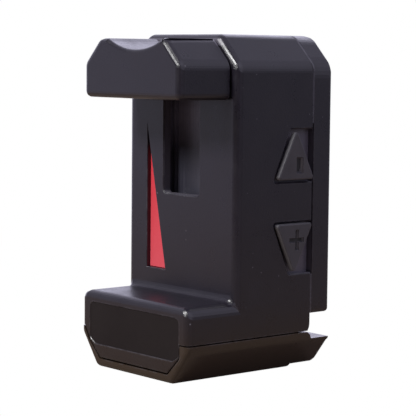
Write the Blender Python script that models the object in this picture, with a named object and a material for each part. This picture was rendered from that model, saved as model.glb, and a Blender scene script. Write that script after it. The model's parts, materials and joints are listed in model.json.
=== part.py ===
"""Pocket stud finder with a sliding upper jaw, two triangular keys and a trough-shaped battery door.

All lengths are in millimetres until they reach a mesh, where MM turns them into metres.
+Z is up, -Y is the front with the jaws, +X is the side with the keys.
The origin is on the base, under the battery door.
"""
import math

import bmesh
import bpy
from mathutils import Matrix, Vector

MM = 0.001
GAP = 0.3

# overall envelope
BODY_HALF_W = 17.4
BODY_TOP = 68.25
FACE_Y = -6.1
SEAM_Y = 14.1
REAR_Y = 19.4
COVER_BOTTOM = 11.7
SHELL_SEAM_Z = 8.2
CHAMFER_X = 6.05
CHAMFER_Z = 6.1
EDGE_R = 1.4
JAW_SHOULDER_R = 2.3
COVER_SIDE_R = 2.5
COVER_REAR_R = 0.8
SEAM_EDGE_R = 0.2
WALL = 1.8

# lower jaw and chin
LOW_JAW_Y = -18.2
LOW_JAW_TOP = 15.5
CHIN_HALF_W = 14.7
CHIN_LEFT_TOP_HALF_W = 16.4
CHIN_KNEE_Z = 5.5
CHIN_FLAT_HALF_W = 11.1
CHIN_BOTTOM = 2.0
CHIN_CORNER_R = 0.6

# upper jaw
UP_JAW_HALF_W = 15.5
UP_JAW_Y = -19.2
UP_JAW_BACK_Y = -6.6
UP_JAW_BOTTOM = 55.4
UP_JAW_TOP = 67.3
UP_JAW_CHAMFER_X = 4.9
UP_JAW_CHAMFER_Z = 4.9
JAW_EDGE_R = 1.25
GROOVE_X = 1.0
GROOVE_HALF_W = 9.0
GROOVE_DEPTH = 2.2
GROOVE_LIP_R = 0.7

# slot in the face and the channel behind it
SLOT_HALF_W = 5.7
SLOT_BOTTOM = 35.9
SLOT_TOP = 64.3
CHANNEL_FLOOR_Y = -2.2
TRACK_Y = -3.0
TRACK_HALF_W = 6.6
CHANNEL_HALF_W = 7.3

# red wedge
WEDGE_X = -11.1
WEDGE_TIP_Z = 49.2
WEDGE_BASE_Z = 20.0
WEDGE_BASE_W = 6.1
WEDGE_RECESS = 0.9

# keys
KEY_FACE_X = 18.15
KEY_BACK_X = 17.1
POCKET_FLOOR_X = 16.05
POCKET_PAD_X = 14.9
MINUS_TIP = (9.1, 49.6)
MINUS_BASE_Z = 39.35
PLUS_TIP = (8.9, 20.2)
PLUS_BASE_Z = 30.55
KEY_HALF_BASE = 5.0
KEY_STEM_R = 1.8

# window
WINDOW_HALF_W = 14.45
WINDOW_TOP = 13.15
WINDOW_BOTTOM = 4.8
WINDOW_RECESS = 0.15

# battery door
DOOR_TOP = 7.95
DOOR_KNEE_Z = 6.7
DOOR_FLAT_HALF_W = 12.4
DOOR_FIT = 0.25
DOOR_STEP_Y = 12.7
DOOR_REAR_Y = 20.0
TAIL_TOP = 6.5

# boards and slide
BOARD_Y = 2.5
BOARD_T = 1.0
ROD_X = 10.6
ROD_Y = -0.9
ROD_R = 0.8
SPRING_R = 1.75
SPRING_WIRE = 0.22
SPRING_TURNS = 20
SPRING_LOW = 18.2
EAR_LOW = 56.0


def clear_scene():
    for obj in list(bpy.data.objects):
        bpy.data.objects.remove(obj, do_unlink=True)
    for mesh in list(bpy.data.meshes):
        bpy.data.meshes.remove(mesh)
    for material in list(bpy.data.materials):
        bpy.data.materials.remove(material)


def material(name, rgb, roughness, metallic=0.0):
    made = bpy.data.materials.new(name)
    made.use_nodes = True
    shader = made.node_tree.nodes["Principled BSDF"]
    shader.inputs["Base Color"].default_value = (rgb[0], rgb[1], rgb[2], 1.0)
    shader.inputs["Roughness"].default_value = roughness
    shader.inputs["Metallic"].default_value = metallic
    made.diffuse_color = (rgb[0], rgb[1], rgb[2], 1.0)
    return made


def to_object(name, bm):
    bmesh.ops.recalc_face_normals(bm, faces=bm.faces)
    mesh = bpy.data.meshes.new(name)
    bm.to_mesh(mesh)
    bm.free()
    obj = bpy.data.objects.new(name, mesh)
    bpy.context.collection.objects.link(obj)
    return obj


def place(axis, u, v, w):
    """Outline coordinates (u, v) and the height w along the axis, as a point in metres."""
    if axis == "X":
        return Vector((w, u, v)) * MM
    if axis == "Y":
        return Vector((u, w, v)) * MM
    return Vector((u, v, w)) * MM


def loft(name, axis, sections):
    """A solid through outlines with equal point counts: [(height, [(u, v), ...]), ...]."""
    bm = bmesh.new()
    rings = []
    for height, outline in sections:
        rings.append([bm.verts.new(place(axis, u, v, height)) for u, v in outline])
    count = len(rings[0])
    for low, high in zip(rings, rings[1:]):
        for i in range(count):
            j = (i + 1) % count
            bm.faces.new((low[i], low[j], high[j], high[i]))
    bm.faces.new(list(reversed(rings[0])))
    bm.faces.new(rings[-1])
    return to_object(name, bm)


def prism(name, axis, outline, low, high):
    return loft(name, axis, [(low, outline), (high, outline)])


def box(name, low, high):
    outline = [(low[0], low[1]), (high[0], low[1]), (high[0], high[1]), (low[0], high[1])]
    return prism(name, "Z", outline, low[2], high[2])


def circle(u, v, radius, count):
    step = 2.0 * math.pi / count
    return [(u + radius * math.cos(i * step), v + radius * math.sin(i * step)) for i in range(count)]


def rod(name, axis, centre, radius, low, high, count=24):
    return prism(name, axis, circle(centre[0], centre[1], radius, count), low, high)


def rounded(corners, radius, count=4):
    """The outline with each corner replaced by an arc."""
    points = []
    total = len(corners)
    for i in range(total):
        here = Vector(corners[i])
        before = (Vector(corners[i - 1]) - here).normalized()
        after = (Vector(corners[(i + 1) % total]) - here).normalized()
        half = before.angle(after) / 2.0
        reach = radius / math.tan(half)
        start = here + before * reach
        end = here + after * reach
        centre = here + (before + after).normalized() * (radius / math.sin(half))
        first = start - centre
        last = end - centre
        turn = first.angle(last)
        for k in range(count + 1):
            t = k / count
            direction = (first * math.sin((1.0 - t) * turn) + last * math.sin(t * turn)) / math.sin(turn)
            point = centre + direction
            points.append((point.x, point.y))
    return points


def grown(corners, amount):
    """The outline moved outwards by amount; the corners must run one way round."""
    area = 0.0
    total = len(corners)
    for i in range(total):
        a = corners[i]
        b = corners[(i + 1) % total]
        area += a[0] * b[1] - b[0] * a[1]
    side = 1.0 if area > 0 else -1.0
    result = []
    for i in range(total):
        here = Vector(corners[i])
        before = (here - Vector(corners[i - 1])).normalized()
        after = (Vector(corners[(i + 1) % total]) - here).normalized()
        n1 = Vector((before.y, -before.x)) * side
        n2 = Vector((after.y, -after.x)) * side
        mitre = (n1 + n2) / (1.0 + n1.dot(n2))
        moved = here + mitre * amount
        result.append((moved.x, moved.y))
    return result


def mirrored(outline):
    """A half outline on the +u side, closed by its mirror image."""
    return list(outline) + [(-u, v) for u, v in reversed(outline)]


def bake(obj):
    graph = bpy.context.evaluated_depsgraph_get()
    mesh = bpy.data.meshes.new_from_object(obj.evaluated_get(graph))
    obj.modifiers.clear()
    obj.data = mesh


def combine(obj, other, operation):
    modifier = obj.modifiers.new("combine", "BOOLEAN")
    modifier.operation = operation
    modifier.solver = "EXACT"
    modifier.object = other
    bake(obj)
    bpy.data.objects.remove(other, do_unlink=True)


def cut(obj, *others):
    for other in others:
        combine(obj, other, "DIFFERENCE")


def join(obj, *others):
    for other in others:
        combine(obj, other, "UNION")


def tidy(obj):
    bm = bmesh.new()
    bm.from_mesh(obj.data)
    bmesh.ops.remove_doubles(bm, verts=bm.verts, dist=0.000001)
    bmesh.ops.dissolve_limit(bm, angle_limit=0.002, verts=bm.verts, edges=bm.edges)
    bm.to_mesh(obj.data)
    bm.free()


def round_edges(obj, radius, segments, wanted):
    """Bevel the edges for which wanted(a, b) is true; a and b are the ends in millimetres."""
    bm = bmesh.new()
    bm.from_mesh(obj.data)
    edges = [e for e in bm.edges if wanted(e.verts[0].co / MM, e.verts[1].co / MM)]
    bmesh.ops.bevel(bm, geom=edges, offset=radius * MM, offset_type="OFFSET", segments=segments,
                    profile=0.5, affect="EDGES", clamp_overlap=False, material=-1)
    bmesh.ops.recalc_face_normals(bm, faces=bm.faces)
    bm.to_mesh(obj.data)
    bm.free()


def round_shares(obj, radius, segments, share):
    """Bevel each edge by its share(a, b) of the radius; a and b are the ends in millimetres."""
    mesh = obj.data
    layer = mesh.attributes.new("bevel_weight_edge", "FLOAT", "EDGE")
    for edge in mesh.edges:
        a, b = [mesh.vertices[index].co / MM for index in edge.vertices]
        layer.data[edge.index].value = share(a, b)
    modifier = obj.modifiers.new("bevel", "BEVEL")
    modifier.limit_method = "WEIGHT"
    modifier.width = radius * MM
    modifier.segments = segments
    modifier.use_clamp_overlap = False
    bake(obj)


def on_plane(axis, value, tolerance=0.01):
    def test(a, b):
        return abs(a[axis] - value) < tolerance and abs(b[axis] - value) < tolerance
    return test


def centre_origin(obj):
    corners = [Vector(corner) for corner in obj.bound_box]
    centre = (corners[0] + corners[6]) / 2.0
    obj.data.transform(Matrix.Translation(-centre))
    obj.location = centre


def hang(name, point, pieces):
    """Parent the pieces that move together to an empty on their line of travel."""
    holder = bpy.data.objects.new(name, None)
    bpy.context.collection.objects.link(holder)
    holder.empty_display_size = 5.0 * MM
    holder.location = Vector(point) * MM
    for piece in pieces:
        obj = bpy.data.objects[piece]
        obj.parent = holder
        obj.location -= holder.location


def finish(obj, shade, smooth_angle=35.0):
    obj.data.materials.clear()
    obj.data.materials.append(shade)
    bm = bmesh.new()
    bm.from_mesh(obj.data)
    limit = math.radians(smooth_angle)
    for face in bm.faces:
        face.smooth = True
        face.material_index = 0
    for edge in bm.edges:
        if len(edge.link_faces) == 2 and edge.calc_face_angle(0.0) > limit:
            edge.smooth = False
    bm.to_mesh(obj.data)
    bm.free()
    centre_origin(obj)
    return obj


def body_profile(inset=0.0, bottom=SHELL_SEAM_Z):
    half = BODY_HALF_W - inset
    top = BODY_TOP - inset
    slope = inset * 0.42
    return mirrored([(half, bottom), (half, BODY_TOP - CHAMFER_Z - slope),
                     (BODY_HALF_W - CHAMFER_X - slope, top)])


def chin_profile(offset=0.0, top=SHELL_SEAM_Z):
    slope = offset * 0.41
    side = CHIN_HALF_W + offset
    flat = CHIN_FLAT_HALF_W + slope
    left_top = CHIN_LEFT_TOP_HALF_W + offset
    return [(side, top), (side, CHIN_KNEE_Z - slope), (flat, CHIN_BOTTOM - offset),
            (-flat, CHIN_BOTTOM - offset), (-side, CHIN_KNEE_Z - slope), (-left_top, SHELL_SEAM_Z),
            (-left_top, top)]


def wedge_outline(amount=0.0):
    corners = [(WEDGE_X, WEDGE_BASE_Z), (WEDGE_X + WEDGE_BASE_W, WEDGE_BASE_Z), (WEDGE_X, WEDGE_TIP_Z)]
    return grown(corners, amount)


def window_outline(amount=0.0):
    half = WINDOW_HALF_W + amount
    top = WINDOW_TOP + amount
    low = WINDOW_BOTTOM - amount
    corners = mirrored([(half - 1.9, low), (half, low + 1.1), (half, top)])
    return rounded(corners, 1.1 + amount, 4)


def minus_outline(amount=0.0):
    tip_y, tip_z = MINUS_TIP
    corners = [(tip_y - KEY_HALF_BASE, MINUS_BASE_Z), (tip_y + KEY_HALF_BASE, MINUS_BASE_Z), (tip_y, tip_z)]
    return grown(corners, amount)


def plus_outline(amount=0.0):
    tip_y, tip_z = PLUS_TIP
    corners = [(tip_y - KEY_HALF_BASE, PLUS_BASE_Z), (tip_y + KEY_HALF_BASE, PLUS_BASE_Z), (tip_y, tip_z)]
    return grown(corners, amount)


def minus_pocket(amount=0.0):
    rear = SEAM_Y + 2.0
    low = MINUS_BASE_Z - 0.5
    high = MINUS_TIP[1] - 0.1
    return grown(rounded([(3.55, low), (rear, low), (rear, high), (8.1, high)], 0.45, 3), amount)


def plus_pocket(amount=0.0):
    rear = SEAM_Y + 2.0
    low = PLUS_TIP[1] + 0.05
    high = PLUS_BASE_Z + 0.2
    return grown(rounded([(8.0, low), (rear, low), (rear, high), (3.6, high)], 0.45, 3), amount)


KEY_CENTRES = {
    "minus": (MINUS_TIP[0], MINUS_BASE_Z + 3.3),
    "plus": (PLUS_TIP[0], PLUS_BASE_Z - 3.3),
}
COVER_SCREWS = [(9.5, 63.4), (-9.5, 63.4), (13.6, 16.0), (-13.6, 16.0)]
BOARD_SCREWS = [(-12.0, 56.6), (1.5, 24.6)]
SLIDER_SCREWS = [(-3.0, 60.6), (3.0, 60.6)]


def make_front_shell(shade):
    side = [(LOW_JAW_Y, SHELL_SEAM_Z), (LOW_JAW_Y, LOW_JAW_TOP), (FACE_Y, LOW_JAW_TOP),
            (FACE_Y, BODY_TOP), (SEAM_Y, BODY_TOP), (SEAM_Y, SHELL_SEAM_Z)]
    shell = prism("front_shell", "X", side, -BODY_HALF_W, BODY_HALF_W)
    bm = bmesh.new()
    bm.from_mesh(shell.data)
    for sign in (-1.0, 1.0):
        point = Vector((sign * BODY_HALF_W, 0.0, BODY_TOP - CHAMFER_Z)) * MM
        normal = Vector((sign * CHAMFER_Z, 0.0, CHAMFER_X)).normalized()
        geom = bm.verts[:] + bm.edges[:] + bm.faces[:]
        bmesh.ops.bisect_plane(bm, geom=geom, dist=1e-7, plane_co=point, plane_no=normal, clear_outer=True)
        open_edges = [e for e in bm.edges if e.is_boundary]
        bmesh.ops.contextual_create(bm, geom=open_edges)
    bmesh.ops.recalc_face_normals(bm, faces=bm.faces)
    bm.to_mesh(shell.data)
    bm.free()

    rear = on_plane(1, SEAM_Y)
    bottom = on_plane(2, SHELL_SEAM_Z)

    def share(a, b):
        if rear(a, b) or bottom(a, b):
            return 0.0
        shoulder = abs(a[2] - LOW_JAW_TOP) < 0.01 and abs(b[2] - LOW_JAW_TOP) < 0.01 and abs(a[1] - b[1]) > 1.0
        return 1.0 if shoulder else EDGE_R / JAW_SHOULDER_R

    round_shares(shell, JAW_SHOULDER_R, 6, share)
    round_edges(shell, SEAM_EDGE_R, 2, lambda a, b: rear(a, b) and not bottom(a, b))

    chin_outline = rounded(chin_profile(top=SHELL_SEAM_Z + 1.0), CHIN_CORNER_R, 3)
    chin = prism("chin", "Y", chin_outline, LOW_JAW_Y, SEAM_Y - 0.2)
    round_edges(chin, 0.3, 2, on_plane(1, LOW_JAW_Y))
    join(shell, chin)

    heel = [(SEAM_Y - 0.65, SHELL_SEAM_Z - 0.1), (SEAM_Y + 0.5, SHELL_SEAM_Z - 0.1),
            (SEAM_Y + 0.5, SHELL_SEAM_Z + 2.5), (SEAM_Y, SHELL_SEAM_Z + 1.6), (SEAM_Y - 0.25, SHELL_SEAM_Z + 0.7)]
    cut(shell, prism("heel", "X", heel, -20.0, 20.0))

    hollow = prism("hollow", "Y", body_profile(WALL, 13.9), FACE_Y + WALL, SEAM_Y + 1.0)
    low_half = BODY_HALF_W - WALL
    low_profile = mirrored([(low_half, LOW_JAW_TOP - WALL), (low_half, 10.0), (12.9, 10.0),
                            (12.9, 6.2), (10.3, 3.6)])
    low_hollow = prism("low_hollow", "Y", low_profile, LOW_JAW_Y + WALL, SEAM_Y - WALL)
    link = box("link", (-low_half, FACE_Y + WALL, 12.0), (low_half, SEAM_Y - WALL, 14.5))
    join(hollow, low_hollow, link)
    cut(shell, hollow)

    for x, z in COVER_SCREWS:
        side_sign = 1.0 if x > 0 else -1.0
        if z > 40.0:
            low = (min(side_sign * 7.6, side_sign * 11.4), FACE_Y + WALL - 0.2, 61.5)
            high = (max(side_sign * 7.6, side_sign * 11.4), SEAM_Y - 0.4, 66.6)
        else:
            low = (min(side_sign * 11.7, side_sign * 16.2), FACE_Y + WALL - 0.2, 14.1)
            high = (max(side_sign * 11.7, side_sign * 16.2), SEAM_Y - 0.4, 17.9)
        join(shell, box("boss", low, high))
        cut(shell, rod("pilot", "Y", (x, z), 0.7, 5.0, SEAM_Y + 1.0, 16))
    for x, z in BOARD_SCREWS:
        join(shell, rod("post", "Y", (x, z), 1.7, FACE_Y + WALL - 0.2, BOARD_Y - GAP))
        cut(shell, rod("pilot", "Y", (x, z), 0.7, -3.0, BOARD_Y + 1.0, 16))

    join(shell, box("spring_shelf", (8.3, FACE_Y + WALL - 0.2, 15.2), (16.0, 1.6, SPRING_LOW - GAP)))
    cut(shell, rod("rod_seat", "Z", (ROD_X, ROD_Y), ROD_R + 0.1, 15.8, 18.0))
    cut(shell, rod("rod_socket", "Z", (ROD_X, ROD_Y), ROD_R + 0.1, 60.0, 63.2))

    join(shell, box("key_pad", (POCKET_PAD_X, 2.4, 19.6), (16.6, SEAM_Y - 0.1, 50.2)))
    for pocket in (minus_pocket, plus_pocket):
        cut(shell, loft("pocket", "X", [(POCKET_FLOOR_X, pocket()), (BODY_HALF_W - 0.25, pocket()),
                                        (BODY_HALF_W + 0.05, pocket(0.3)), (BODY_HALF_W + 1.0, pocket(0.3))]))
    for centre in KEY_CENTRES.values():
        cut(shell, rod("stem_hole", "X", centre, KEY_STEM_R + GAP, 14.0, 17.0))

    slot = rounded([(-SLOT_HALF_W, SLOT_BOTTOM), (SLOT_HALF_W, SLOT_BOTTOM),
                    (SLOT_HALF_W, SLOT_TOP), (-SLOT_HALF_W, SLOT_TOP)], 0.7)
    wide = rounded([(-SLOT_HALF_W - 0.3, SLOT_BOTTOM - 0.3), (SLOT_HALF_W + 0.3, SLOT_BOTTOM - 0.3),
                    (SLOT_HALF_W + 0.3, SLOT_TOP + 0.3), (-SLOT_HALF_W - 0.3, SLOT_TOP + 0.3)], 1.0)
    cut(shell, loft("slot", "Y", [(FACE_Y - 1.0, wide), (FACE_Y - 0.05, wide), (FACE_Y + 0.25, slot),
                                  (FACE_Y + WALL + 0.5, slot)]))
    cut(shell, loft("wedge", "Y", [(FACE_Y - 1.0, wedge_outline(0.12)), (FACE_Y, wedge_outline(0.12)),
                                   (FACE_Y + 0.12, wedge_outline()), (FACE_Y + WALL + 0.5, wedge_outline())]))
    cut(shell, loft("window_seat", "Y", [(LOW_JAW_Y - 1.0, window_outline(0.2)),
                                         (LOW_JAW_Y, window_outline(0.2)),
                                         (LOW_JAW_Y + 0.15, window_outline(0.08)),
                                         (LOW_JAW_Y + 1.25, window_outline(0.08))]))
    cut(shell, box("window_light", (-10.0, LOW_JAW_Y + 1.0, 6.5), (10.0, LOW_JAW_Y + 2.5, 11.6)))
    for sign in (-1.0, 1.0):
        rail = sorted((sign * 13.95, sign * 17.6))
        cut(shell, box("rail_groove", (rail[0], -16.0, 6.4), (rail[1], SEAM_Y + 1.0, 7.5)))
    cut(shell, rod("battery_mouth", "Z", (0.0, -2.0), 8.5, 1.0, 4.6, 48))
    tidy(shell)
    return finish(shell, shade)


def make_rear_cover(shade):
    cover = prism("rear_cover", "Y", body_profile(bottom=COVER_BOTTOM), SEAM_Y + DOOR_FIT, REAR_Y)
    front = on_plane(1, SEAM_Y + DOOR_FIT)

    def share(a, b):
        if front(a, b):
            return 0.0
        return 1.0 if abs(a[1] - b[1]) > 1.0 and a[2] > COVER_BOTTOM + 1.0 else COVER_REAR_R / COVER_SIDE_R

    round_shares(cover, COVER_SIDE_R, 6, share)
    round_edges(cover, SEAM_EDGE_R, 2, front)
    cut(cover, prism("cover_hollow", "Y", body_profile(WALL, COVER_BOTTOM + 1.7), SEAM_Y - 1.0, REAR_Y - 1.7))
    for x, z in COVER_SCREWS:
        side_sign = 1.0 if x > 0 else -1.0
        if z > 40.0:
            low = (min(side_sign * 7.6, side_sign * 11.4), SEAM_Y + DOOR_FIT, 61.5)
            high = (max(side_sign * 7.6, side_sign * 11.4), REAR_Y - 1.0, 66.6)
        else:
            low = (min(side_sign * 11.7, side_sign * 16.2), SEAM_Y + DOOR_FIT, 13.2)
            high = (max(side_sign * 11.7, side_sign * 16.2), REAR_Y - 1.0, 17.9)
        join(cover, box("boss", low, high))
        cut(cover, rod("clear_hole", "Y", (x, z), 0.95, SEAM_Y - 1.0, REAR_Y + 1.0, 20))
        cut(cover, rod("head_hole", "Y", (x, z), 1.75, REAR_Y - 2.2, REAR_Y + 1.0, 28))
    tidy(cover)
    return finish(cover, shade)


def make_battery_door(shade):
    outer_corners = mirrored([(BODY_HALF_W, DOOR_TOP), (BODY_HALF_W, DOOR_KNEE_Z), (DOOR_FLAT_HALF_W, 0.0)])
    door = prism("battery_door", "Y", outer_corners, LOW_JAW_Y, DOOR_REAR_Y)
    rear = on_plane(1, DOOR_REAR_Y)
    top = on_plane(2, DOOR_TOP)
    round_edges(door, 1.0, 4, lambda a, b: not rear(a, b) and not top(a, b))
    round_edges(door, 0.5, 3, lambda a, b: rear(a, b) and not top(a, b))
    heel = box("heel", (-20.0, DOOR_STEP_Y, -1.0), (20.0, DOOR_REAR_Y + 1.0, 5.8))
    kept = mirrored([(BODY_HALF_W + 0.1, 12.0), (BODY_HALF_W + 0.1, DOOR_KNEE_Z), (DOOR_FLAT_HALF_W + 0.2, 0.5)])
    kept = rounded(kept, 2.4, 5)
    cut(heel, loft("kept", "Y", [(DOOR_STEP_Y - 2.0, kept), (DOOR_REAR_Y - 0.9, kept),
                                 (DOOR_REAR_Y - 0.25, grown(kept, -0.25)), (DOOR_REAR_Y + 0.05, grown(kept, -0.9)),
                                 (DOOR_REAR_Y + 2.0, grown(kept, -0.9))]))
    cut(door, heel)
    trough_outline = rounded(chin_profile(DOOR_FIT, 12.0), CHIN_CORNER_R + DOOR_FIT, 3)
    inner = prism("trough", "Y", trough_outline, LOW_JAW_Y - 1.0, SEAM_Y + DOOR_FIT - 0.2)
    cut(door, inner)
    tail = [(13.4, DOOR_TOP + 1.0), (13.4, DOOR_TOP), (14.3, 7.3), (14.45, 6.9), (14.8, TAIL_TOP),
            (DOOR_REAR_Y - 0.5, TAIL_TOP), (DOOR_REAR_Y, TAIL_TOP - 0.5), (DOOR_REAR_Y + 1.0, TAIL_TOP - 0.5),
            (DOOR_REAR_Y + 1.0, DOOR_TOP + 1.0)]
    cut(door, prism("tail_top", "X", tail, -20.0, 20.0))
    for sign in (-1.0, 1.0):
        rail = sorted((sign * 14.25, sign * 16.6))
        join(door, box("rail", (rail[0], -15.6, 6.7), (rail[1], 12.0, 7.2)))
    tidy(door)
    return finish(door, shade)


def groove_arc(count=16):
    """The thumb groove's outline across the top of the upper jaw, open upwards."""
    radius = (GROOVE_HALF_W ** 2 + GROOVE_DEPTH ** 2) / (2.0 * GROOVE_DEPTH)
    half_angle = math.asin(GROOVE_HALF_W / radius) * 1.12
    centre_z = UP_JAW_TOP - GROOVE_DEPTH + radius
    points = []
    for i in range(count + 1):
        angle = -half_angle + 2.0 * half_angle * i / count
        points.append((GROOVE_X + radius * math.sin(angle), centre_z - radius * math.cos(angle)))
    return points


def make_upper_jaw(shade):
    profile = mirrored([(UP_JAW_HALF_W, UP_JAW_BOTTOM), (UP_JAW_HALF_W, UP_JAW_TOP - UP_JAW_CHAMFER_Z),
                        (UP_JAW_HALF_W - UP_JAW_CHAMFER_X, UP_JAW_TOP)])
    jaw = prism("upper_jaw", "Y", profile, UP_JAW_Y, UP_JAW_BACK_Y)
    arc = groove_arc()
    groove = prism("groove", "Y", arc + [(arc[-1][0], 75.0), (arc[0][0], 75.0)], UP_JAW_Y - 1.0, FACE_Y + 1.0)
    cut(jaw, groove)
    tidy(jaw)

    def share(a, b):
        if abs(a[1] - UP_JAW_BACK_Y) < 0.01 and abs(b[1] - UP_JAW_BACK_Y) < 0.01:
            return 0.0
        in_groove = all(abs(end[0] - GROOVE_X) < GROOVE_HALF_W + 0.02 and end[2] > 60.0 for end in (a, b))
        if not in_groove:
            return 1.0
        ridge = min(a[2], b[2]) > UP_JAW_TOP - 0.02
        lip = abs(a[1] - UP_JAW_Y) < 0.01 and abs(b[1] - UP_JAW_Y) < 0.01
        return GROOVE_LIP_R / JAW_EDGE_R if lip or ridge else 0.0

    round_shares(jaw, JAW_EDGE_R, 5, share)
    join(jaw, box("neck", (-5.4, UP_JAW_BACK_Y - 1.0, 56.6), (5.4, FACE_Y + WALL, 63.9)))
    for x, z in SLIDER_SCREWS:
        cut(jaw, rod("pilot", "Y", (x, z), 0.65, -9.0, FACE_Y + WALL + 1.0, 16))
    tidy(jaw)
    return finish(jaw, shade)


def make_key(name, outline, centre, strokes, depth, draft, shade):
    raised = rounded(outline(), 0.55, 5)
    cap = loft(name, "X", [(KEY_BACK_X, raised), (KEY_FACE_X - 0.3, raised),
                           (KEY_FACE_X - 0.09, rounded(outline(-0.09), 0.5, 5)),
                           (KEY_FACE_X, rounded(outline(-0.3), 0.4, 5))])
    for low, high in strokes:
        opening = [(low[0], low[1]), (high[0], low[1]), (high[0], high[1]), (low[0], high[1])]
        cut(cap, loft("stroke", "X", [(KEY_FACE_X - depth, grown(opening, -draft)), (KEY_FACE_X, opening),
                                      (KEY_FACE_X + depth, grown(opening, draft))]))
    join(cap, rod("stem", "X", centre, KEY_STEM_R, 14.3, KEY_BACK_X + 0.5))
    join(cap, rod("flange", "X", centre, KEY_STEM_R + 0.7, 14.0, POCKET_PAD_X - GAP))
    return finish(cap, shade)


def make_switch(name, centre, shade):
    y, z = centre
    body = box(name, (11.7, y - 3.0, z - 3.0), (13.1, y + 3.0, z + 3.0))
    round_edges(body, 0.25, 2, lambda a, b: True)
    cut(body, rod("well", "X", centre, 1.0, 12.0, 14.0))
    return finish(body, shade)


def make_slider_plate(shade):
    plate = box("slider_plate", (-6.3, -4.05, 57.0), (6.3, -3.3, 64.6))
    join(plate, box("ear", (6.0, -4.0, EAR_LOW), (14.4, -3.35, EAR_LOW + 3.4)))
    join(plate, box("lug", (8.6, -3.7, EAR_LOW), (12.7, 1.2, EAR_LOW + 3.4)))
    cut(plate, rod("lug_hole", "Z", (ROD_X, ROD_Y), ROD_R + 0.1, EAR_LOW - 1.0, EAR_LOW + 5.0))
    for x, z in SLIDER_SCREWS:
        cut(plate, rod("clear_hole", "Y", (x, z), 0.8, -5.0, -2.0, 20))
    tidy(plate)
    return finish(plate, shade)


def make_slide_channel(shade):
    channel = box("slide_channel", (-CHANNEL_HALF_W, FACE_Y + WALL + 0.05, 34.8),
                  (CHANNEL_HALF_W, CHANNEL_FLOOR_Y + 0.8, 65.9))
    cut(channel, box("bed", (-SLOT_HALF_W, TRACK_Y - 0.5, 35.6), (SLOT_HALF_W, CHANNEL_FLOOR_Y, 65.2)))
    cut(channel, box("track", (-TRACK_HALF_W, -5.0, 35.6), (TRACK_HALF_W, TRACK_Y, 65.2)))
    cut(channel, box("ear_way", (TRACK_HALF_W - 0.5, -5.0, 35.7), (CHANNEL_HALF_W + 1.0, TRACK_Y, 65.2)))
    tidy(channel)
    return finish(channel, shade)


def spring_height(turn):
    """Height of the wire's centre after a number of turns; the first and last turns lie closed."""
    closed = 2.4 * SPRING_WIRE
    low = SPRING_LOW + SPRING_WIRE
    high = EAR_LOW - 0.25 - SPRING_WIRE
    if turn < 1.0:
        return low + turn * closed
    if turn > SPRING_TURNS - 1.0:
        return high - (SPRING_TURNS - turn) * closed
    share = (turn - 1.0) / (SPRING_TURNS - 2.0)
    return low + closed + share * (high - low - 2.0 * closed)


def make_spring(shade):
    steps = SPRING_TURNS * 12
    sides = 6
    bm = bmesh.new()
    rings = []
    for i in range(steps + 1):
        turn = SPRING_TURNS * i / steps
        angle = 2.0 * math.pi * turn
        out = Vector((math.cos(angle), math.sin(angle), 0.0))
        centre = Vector((ROD_X, ROD_Y, spring_height(turn))) + out * SPRING_R
        ring = []
        for k in range(sides):
            roll = 2.0 * math.pi * k / sides
            offset = out * math.cos(roll) + Vector((0.0, 0.0, math.sin(roll)))
            ring.append(bm.verts.new((centre + offset * SPRING_WIRE) * MM))
        rings.append(ring)
    for low_ring, high_ring in zip(rings, rings[1:]):
        for k in range(sides):
            m = (k + 1) % sides
            bm.faces.new((low_ring[k], low_ring[m], high_ring[m], high_ring[k]))
    bm.faces.new(list(reversed(rings[0])))
    bm.faces.new(rings[-1])
    return finish(to_object("return_spring", bm), shade, 80.0)


def make_screw(name, x, z, head_low, head_high, tip, head_r, shank_r, shade):
    """A screw along Y with its head towards the rear and a cross recess."""
    rings = [(tip, circle(x, z, 0.15, 16)), (tip + 0.7, circle(x, z, shank_r, 16)),
             (head_low, circle(x, z, shank_r, 16)), (head_low + 0.01, circle(x, z, head_r, 16)),
             (head_high - 0.25, circle(x, z, head_r, 16)), (head_high, circle(x, z, head_r * 0.8, 16))]
    screw = loft(name, "Y", rings)
    arm = head_r * 0.55
    slot = head_r * 0.16
    depth = (head_high - head_low) * 0.5
    cut(screw, box("cross", (x - arm, head_high - depth, z - slot), (x + arm, head_high + 1.0, z + slot)))
    cut(screw, box("cross", (x - slot, head_high - depth, z - arm), (x + slot, head_high + 1.0, z + arm)))
    return finish(screw, shade)


def make_ribbon(shade):
    """Flat cable: up from the sensor board, back under the lower jaw's roof, up to the main board."""
    thick = 0.2
    front = -14.55
    rear = BOARD_Y - 0.9
    roof = 12.9
    outline = [(front, 9.0), (front + thick, 9.0), (front + thick, roof - thick), (rear, roof - thick),
               (rear, 21.4), (rear - thick, 21.4), (rear - thick, roof), (front, roof)]
    return finish(prism("sensor_ribbon", "X", outline, -7.5, -1.5), shade)


def block(name, low, high, shade, radius=0.0, segments=2):
    obj = box(name, low, high)
    if radius > 0.0:
        round_edges(obj, radius, segments, lambda a, b: True)
    return finish(obj, shade)


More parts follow.
